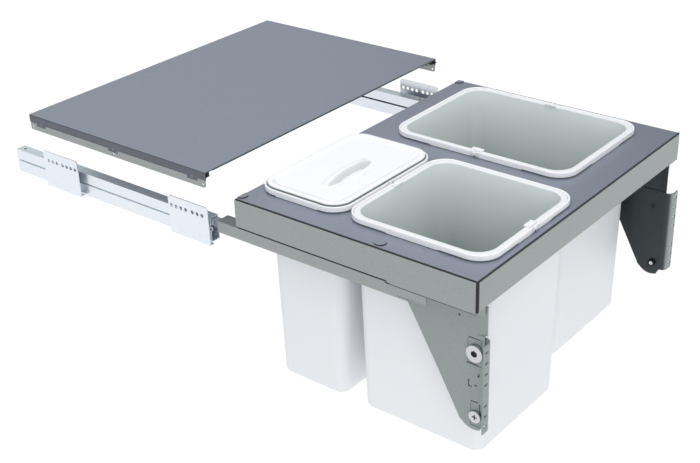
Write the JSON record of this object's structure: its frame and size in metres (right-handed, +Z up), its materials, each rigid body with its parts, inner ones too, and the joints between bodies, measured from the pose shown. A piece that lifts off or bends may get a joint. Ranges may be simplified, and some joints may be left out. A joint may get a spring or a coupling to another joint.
{
  "type": "pull-out waste bin unit",
  "caption": "Pull-out waste bin unit for a base cabinet: full-extension runners, steel deck frame, lift-out bins with bail rings, door brackets and a shelf lid.",
  "frame": {"origin": "centre of the door screw slots, on the plane of the door's back face", "axes": "+X to the right seen from the front, +Y into the cabinet, +Z up"},
  "size_m": [0.564, 0.8878, 0.3277],
  "materials": {
    "zinc": "zinc-plated strip steel",
    "grey_steel": "silver-grey satin powder coat",
    "deck_steel": "silver-lavender satin powder coat",
    "bright_steel": "bright nickel-plated fastener",
    "bin_plastic": "moulded white polypropylene",
    "trim_plastic": "moulded white plastic",
    "black_plastic": "black plastic"
  },
  "bodies": {
    "cabinet_side": {"left_cabinet_rail": "zinc", "right_cabinet_rail": "zinc", "left_front_bracket": "zinc", "right_front_bracket": "zinc", "left_rear_bracket": "zinc", "right_rear_bracket": "zinc", "bracket_rivets": "zinc", "rail_end_stops": "black_plastic", "lid_plate": "deck_steel", "lid_left_profile": "grey_steel", "lid_right_profile": "grey_steel", "lid_rivets": "grey_steel", "lid_bumpers": "black_plastic"},
    "pullout_frame": {"deck": "deck_steel", "left_side_skirt": "grey_steel", "right_side_skirt": "grey_steel", "front_skirt": "grey_steel", "rear_skirt": "grey_steel", "front_seal": "black_plastic", "side_seals": "black_plastic", "corner_trims": "black_plastic", "deck_buffers": "black_plastic", "left_carrier": "grey_steel", "right_carrier": "grey_steel", "carrier_spacers": "black_plastic", "carrier_rivets": "grey_steel", "left_gusset": "grey_steel", "right_gusset": "grey_steel", "gusset_rivets": "grey_steel", "clamp_screws": "bright_steel", "clamp_nuts": "bright_steel"},
    "left_middle": {"left_middle_rail": "zinc"},
    "right_middle": {"right_middle_rail": "zinc"},
    "left_outer_balls": {"left_outer_cage": "trim_plastic"},
    "right_outer_balls": {"right_outer_cage": "trim_plastic"},
    "left_inner_balls": {"left_inner_cage": "trim_plastic"},
    "right_inner_balls": {"right_inner_cage": "trim_plastic"},
    "large_bin_body": {"large_bin": "bin_plastic", "large_bin_clips": "trim_plastic"},
    "large_bail_front": {"large_front_bail": "trim_plastic"},
    "large_bail_rear": {"large_rear_bail": "trim_plastic"},
    "medium_bin_body": {"medium_bin": "bin_plastic", "medium_bin_clips": "trim_plastic"},
    "medium_bail_left": {"medium_left_bail": "trim_plastic"},
    "medium_bail_right": {"medium_right_bail": "trim_plastic"},
    "small_bin_body": {"small_bin": "bin_plastic", "small_bin_clips": "trim_plastic"},
    "small_bail_left": {"small_left_bail": "trim_plastic"},
    "small_bail_right": {"small_right_bail": "trim_plastic"},
    "small_lid": {"small_bin_lid": "trim_plastic"},
    "left_door": {"left_door_bracket": "grey_steel"},
    "right_door": {"right_door_bracket": "grey_steel"},
    "left_adjuster": {"left_cam": "bright_steel"},
    "right_adjuster": {"right_cam": "bright_steel"}
  },
  "joints": [
    {"name": "pull_out", "type": "slide", "parent": "cabinet_side", "child": "pullout_frame", "axis": [0, -1, 0], "range_m": [-0.43, 0]},
    {"name": "left_middle_slide", "type": "slide", "parent": "cabinet_side", "child": "left_middle", "axis": [0, -1, 0], "range_m": [-0.216, 0]},
    {"name": "left_outer_balls_slide", "type": "slide", "parent": "cabinet_side", "child": "left_outer_balls", "axis": [0, -1, 0], "range_m": [-0.108, 0]},
    {"name": "left_inner_balls_slide", "type": "slide", "parent": "cabinet_side", "child": "left_inner_balls", "axis": [0, -1, 0], "range_m": [-0.323, 0]},
    {"name": "right_middle_slide", "type": "slide", "parent": "cabinet_side", "child": "right_middle", "axis": [0, -1, 0], "range_m": [-0.216, 0]},
    {"name": "right_outer_balls_slide", "type": "slide", "parent": "cabinet_side", "child": "right_outer_balls", "axis": [0, -1, 0], "range_m": [-0.108, 0]},
    {"name": "right_inner_balls_slide", "type": "slide", "parent": "cabinet_side", "child": "right_inner_balls", "axis": [0, -1, 0], "range_m": [-0.323, 0]},
    {"name": "large_bin_lift", "type": "slide", "parent": "pullout_frame", "child": "large_bin_body", "axis": [0, 0, 1], "range_m": [0, 0.36]},
    {"name": "medium_bin_lift", "type": "slide", "parent": "pullout_frame", "child": "medium_bin_body", "axis": [0, 0, 1], "range_m": [0, 0.36]},
    {"name": "small_bin_lift", "type": "slide", "parent": "pullout_frame", "child": "small_bin_body", "axis": [0, 0, 1], "range_m": [0, 0.36]},
    {"name": "small_lid_lift", "type": "slide", "parent": "small_bin_body", "child": "small_lid", "axis": [0, 0, 1], "range_m": [0, 0.14]},
    {"name": "large_bail_front_swing", "type": "hinge", "parent": "large_bin_body", "child": "large_bail_front", "pos_m": [0.138, 0.2053, 0.16315], "axis": [-1, 0, 0], "range_deg": [0, 85]},
    {"name": "large_bail_rear_swing", "type": "hinge", "parent": "large_bin_body", "child": "large_bail_rear", "pos_m": [0.138, 0.2143, 0.16315], "axis": [1, 0, 0], "range_deg": [0, 85]},
    {"name": "medium_bail_left_swing", "type": "hinge", "parent": "medium_bin_body", "child": "medium_bail_left", "pos_m": [-0.13, 0.1318, 0.16315], "axis": [0, 1, 0], "range_deg": [0, 85]},
    {"name": "medium_bail_right_swing", "type": "hinge", "parent": "medium_bin_body", "child": "medium_bail_right", "pos_m": [-0.121, 0.1318, 0.16315], "axis": [0, -1, 0], "range_deg": [0, 85]},
    {"name": "small_bail_left_swing", "type": "hinge", "parent": "small_bin_body", "child": "small_bail_left", "pos_m": [-0.13, 0.32355, 0.16315], "axis": [0, 1, 0], "range_deg": [0, 85]},
    {"name": "small_bail_right_swing", "type": "hinge", "parent": "small_bin_body", "child": "small_bail_right", "pos_m": [-0.121, 0.32355, 0.16315], "axis": [0, -1, 0], "range_deg": [0, 85]},
    {"name": "left_door_height", "type": "slide", "parent": "pullout_frame", "child": "left_door", "axis": [0, 0, 1], "range_m": [-0.002, 0.002]},
    {"name": "left_cam_turn", "type": "hinge", "parent": "pullout_frame", "child": "left_adjuster", "pos_m": [-0.2545, 0.0234, 0.0408], "axis": [1, 0, 0], "range_deg": [-26.5, 26.5]},
    {"name": "right_door_height", "type": "slide", "parent": "pullout_frame", "child": "right_door", "axis": [0, 0, 1], "range_m": [-0.002, 0.002]},
    {"name": "right_cam_turn", "type": "hinge", "parent": "pullout_frame", "child": "right_adjuster", "pos_m": [0.2545, 0.0234, 0.0408], "axis": [1, 0, 0], "range_deg": [-26.5, 26.5]}
  ],
  "couplings": [
    {"joint": "left_middle_slide", "follows": "pull_out", "ratio": 0.5},
    {"joint": "left_outer_balls_slide", "follows": "pull_out", "ratio": 0.25},
    {"joint": "left_inner_balls_slide", "follows": "pull_out", "ratio": 0.75},
    {"joint": "right_middle_slide", "follows": "pull_out", "ratio": 0.5},
    {"joint": "right_outer_balls_slide", "follows": "pull_out", "ratio": 0.25},
    {"joint": "right_inner_balls_slide", "follows": "pull_out", "ratio": 0.75},
    {"joint": "left_cam_turn", "follows": "left_door_height", "rad_per_m": 230.3},
    {"joint": "right_cam_turn", "follows": "right_door_height", "rad_per_m": 230.3}
  ]
}
